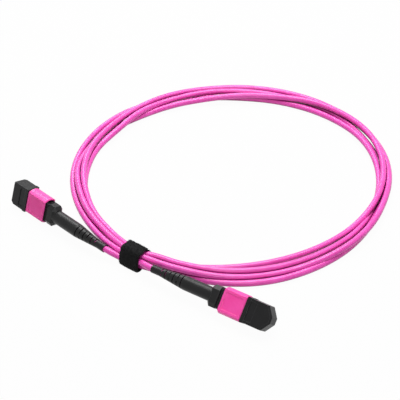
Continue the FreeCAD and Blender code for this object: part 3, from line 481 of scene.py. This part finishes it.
# The middle of the strap's thickness, (y, z): from under the lap, over the bundle and back to the
# lapped end. Each corner is rounded from the distance given in STRAP_ROUNDS.
STRAP_CORNERS = ((4.75, 3.4), (4.7, 6.4), (3.3, 9.0), (-3.23, 9.1), (-4.88, 0.5), (4.7, 0.5),
                 (4.75, 2.2), (5.78, 3.3), (5.78, 6.3))
STRAP_ROUNDS = (0, 1.2, 1.0, 2.0, 1.8, 1.4, 0.5, 0.6, 0)
CORNER_STEPS = 8
RUN_STEP = 0.7
# The band's section: the place across the width from 0 to 1, and the side from 0 at the edge to 1 outside.
NEAR_EDGE = ((0.0, 0.0), (0.02, 0.55))
FACE_FROM, FACE_SPAN, FACE_STEPS = 0.06, 0.88, 12
FAR_EDGE = ((0.98, 0.55), (1.0, 0.0))
EDGE_WAVES = ((0.16, 0.55), (0.1, 1.31))         # size, and radians for each step along the strap
ROUGH_SIZE, ROUGH_PACE = 0.07, 0.9               # the outer face's unevenness, and its pace for each mm
# The pile's loops
PILE_SEED = 11
PILE_TRIES = 1700
PILE_FROM, PILE_SPAN = 0.02, 0.96                # the share of the width that has loops
PILE_LOWEST = 0.9                                # no loops where the strap faces the floor
ROOT_DEPTH = 0.03
LOOP_HIGH = (0.1, 0.3)                           # the least and the most height
LOOP_HALF = (0.12, 0.3)                          # the least and the most half width
LOOP_ARCH = ((-1, 0), (-0.7, 0.8), (0, 1), (0.7, 0.8), (1, 0))      # shares of the two along a loop
FIBRE_R = 0.035
FIBRE_SIDES = 3


def add_run(path, end):
    """A straight stretch in steps of about RUN_STEP."""
    start = Vector(path[-1])
    count = max(1, round((end - start).length / RUN_STEP))
    path.extend(tuple(start.lerp(end, i / count)) for i in range(1, count + 1))


def strap_path():
    path = [STRAP_CORNERS[0]]
    corners = zip(STRAP_CORNERS, STRAP_CORNERS[1:], STRAP_CORNERS[2:], STRAP_ROUNDS[1:])
    for before, here, after, room in corners:
        here = Vector(here)
        first = here + (Vector(before) - here).normalized() * room
        last = here + (Vector(after) - here).normalized() * room
        add_run(path, first)
        for i in range(1, CORNER_STEPS + 1):
            t = i / CORNER_STEPS
            path.append(tuple(first * (1 - t) ** 2 + here * 2 * t * (1 - t) + last * t ** 2))
    add_run(path, Vector(STRAP_CORNERS[-1]))
    return path


def strap_normals(path):
    normals = []
    for i in range(len(path)):
        a, b = path[max(i - 1, 0)], path[min(i + 1, len(path) - 1)]
        dy, dz = b[0] - a[0], b[1] - a[1]
        size = math.hypot(dy, dz)
        normals.append((dz / size, -dy / size))
    return normals


def strap_section():
    """The band's whole section, with sides below 0 inside."""
    face = [(FACE_FROM + FACE_SPAN * i / FACE_STEPS, 1.0) for i in range(FACE_STEPS + 1)]
    out = [*NEAR_EDGE, *face, *FAR_EDGE]
    return out + [(u, -side) for u, side in reversed(out[1:-1])]


def strap_rings(path, normals, width):
    """The section's places at each step along the strap, in metres."""
    section = strap_section()
    rings = []
    for index, ((y, z), (ny, nz)) in enumerate(zip(path, normals)):
        edge = sum(size * math.sin(index * pace) for size, pace in EDGE_WAVES)
        ring = []
        for u, side in section:
            x = STRAP_X[0] + u * width + edge * (2 * u - 1)
            off = side * STRAP_T / 2
            if side > 0:
                off += STRAP_CROWN * math.sin(math.pi * u)
            if side == 1:
                off += ROUGH_SIZE * noise.noise(Vector((x * ROUGH_PACE, y * ROUGH_PACE, z * ROUGH_PACE)))
            turned = y + ny * off + STRAP_TURN * (x - STRAP_MIDDLE)
            ring.append(Vector((x, turned, max(z + nz * off, STRAP_LOWEST))) * MM)
        rings.append(ring)
    return rings


def add_strap():
    path = strap_path()
    normals = strap_normals(path)
    width = STRAP_X[1] - STRAP_X[0]
    mesh = tube_mesh("strap", strap_rings(path, normals, width), smooth_ends=True)
    strap = add_object("strap", mesh, "strap_cloth")
    smooth = strap.modifiers.new("smooth", "SUBSURF")
    smooth.levels = smooth.render_levels = 1
    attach(strap, "cable")
    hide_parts("hook_and_loop_strap")
    pile = add_pile(path, normals, width)


def add_pile(path, normals, width):
    """Short fibre loops standing on the strap's outer face, each of three sides with closed ends."""
    rng = random.Random(PILE_SEED)
    verts, faces = [], []
    for _ in range(PILE_TRIES):
        i = rng.randrange(1, len(path) - 1)
        t = rng.random()
        y = path[i][0] + (path[i + 1][0] - path[i][0]) * t
        z = path[i][1] + (path[i + 1][1] - path[i][1]) * t
        ny, nz = normals[i]
        u = rng.random()
        if z + nz < PILE_LOWEST:
            continue
        x = STRAP_X[0] + width * (PILE_FROM + PILE_SPAN * u)
        lift = STRAP_T / 2 + STRAP_CROWN * math.sin(math.pi * u) - ROOT_DEPTH
        high, half, lean = rng.uniform(*LOOP_HIGH), rng.uniform(*LOOP_HALF), rng.uniform(0, math.tau)
        side = Vector((math.cos(lean), -nz * math.sin(lean), ny * math.sin(lean)))
        up = Vector((0, ny, nz))
        base = Vector((x, y + STRAP_TURN * (x - STRAP_MIDDLE), z)) + up * lift
        over = side.cross(up) * FIBRE_R
        first = len(verts)
        for out, rise in LOOP_ARCH:
            point = base + side * half * out + up * high * rise
            verts.extend([(point + over) * MM, (point - over / 2 + up * FIBRE_R) * MM,
                          (point - over / 2 - up * FIBRE_R) * MM])
        for row in range(first, len(verts) - FIBRE_SIDES, FIBRE_SIDES):
            for s in range(FIBRE_SIDES):
                a, b = row + s, row + (s + 1) % FIBRE_SIDES
                faces.append((a, a + FIBRE_SIDES, b + FIBRE_SIDES, b))
        faces += [(first, first + 1, first + 2), (len(verts) - 1, len(verts) - 2, len(verts) - 3)]
    mesh = bpy.data.meshes.new("strap_pile")
    mesh.from_pydata(verts, [], faces)
    pile = add_object("strap_pile", mesh, "strap_cloth")
    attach(pile, "cable")
    return pile


add_strap()

# The springs inside the plugs, one wire for each CAD spring that a joint deforms
SPRING_STEPS = 24            # places round one turn
WIRE_SIDES = 8
SPRING_TURNS = {"coupling": 6.5, "ferrule": 4.5}
CLOSED_TURNS = 1.0           # turns at each end that lie wire on wire


def spring_frame(node, axis):
    """The two ends of a spring's middle line, its outer radius and its wire's thickness, from the CAD."""
    side = axis.orthogonal().normalized()
    up = axis.cross(side)
    spots = [v.co for v in frame["nodes"][node].data.vertices]
    low, high = [[pick(p.dot(way) for p in spots) for way in (axis, side, up)] for pick in (min, max)]
    middle = side * (low[1] + high[1]) / 2 + up * (low[2] + high[2]) / 2
    reach = [(p - axis * p.dot(axis) - middle).length for p in spots]
    return middle + axis * low[0], middle + axis * high[0], max(reach), max(reach) - min(reach)


def spring_rings(front, rear, radius, wire, turns):
    """The wire's sections, with the end turns closed and the rest evenly open."""
    axis = (rear - front).normalized()
    side = axis.orthogonal().normalized()
    up = axis.cross(side)
    open_length = (rear - front).length - wire - 2 * CLOSED_TURNS * wire
    around = [i * math.tau / WIRE_SIDES for i in range(WIRE_SIDES)]
    rings = []
    for i in range(int(turns * SPRING_STEPS) + 1):
        turn = i / SPRING_STEPS
        share = min(max((turn - CLOSED_TURNS) / (turns - 2 * CLOSED_TURNS), 0), 1)
        ends = min(turn, CLOSED_TURNS) + max(turn - turns + CLOSED_TURNS, 0)
        out = side * math.cos(turn * math.tau) + up * math.sin(turn * math.tau)
        place = front + axis * (wire / 2 + ends * wire + share * open_length) + out * (radius - wire / 2)
        rings.append([place + (out * math.cos(a) + axis * math.sin(a)) * wire / 2 for a in around])
    return rings


def add_spring(node, joint):
    axis = Vector(joint["axis"]).normalized()
    front, rear, radius, wire = spring_frame(node, axis)
    rings = spring_rings(front, rear, radius, wire, SPRING_TURNS[node.split("_")[0]])
    spring = add_object(node + "_wire", tube_mesh(node + "_wire", rings, smooth_ends=False), "spring_steel")
    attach(spring, "cable")
    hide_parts(node)
    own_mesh(spring)


for joint in frame["record"]["behaviour"]["joints"]:
    for item in joint.get("deforming_nodes", []):
        add_spring(item["node"], joint)

bpy.context.view_layer.update()
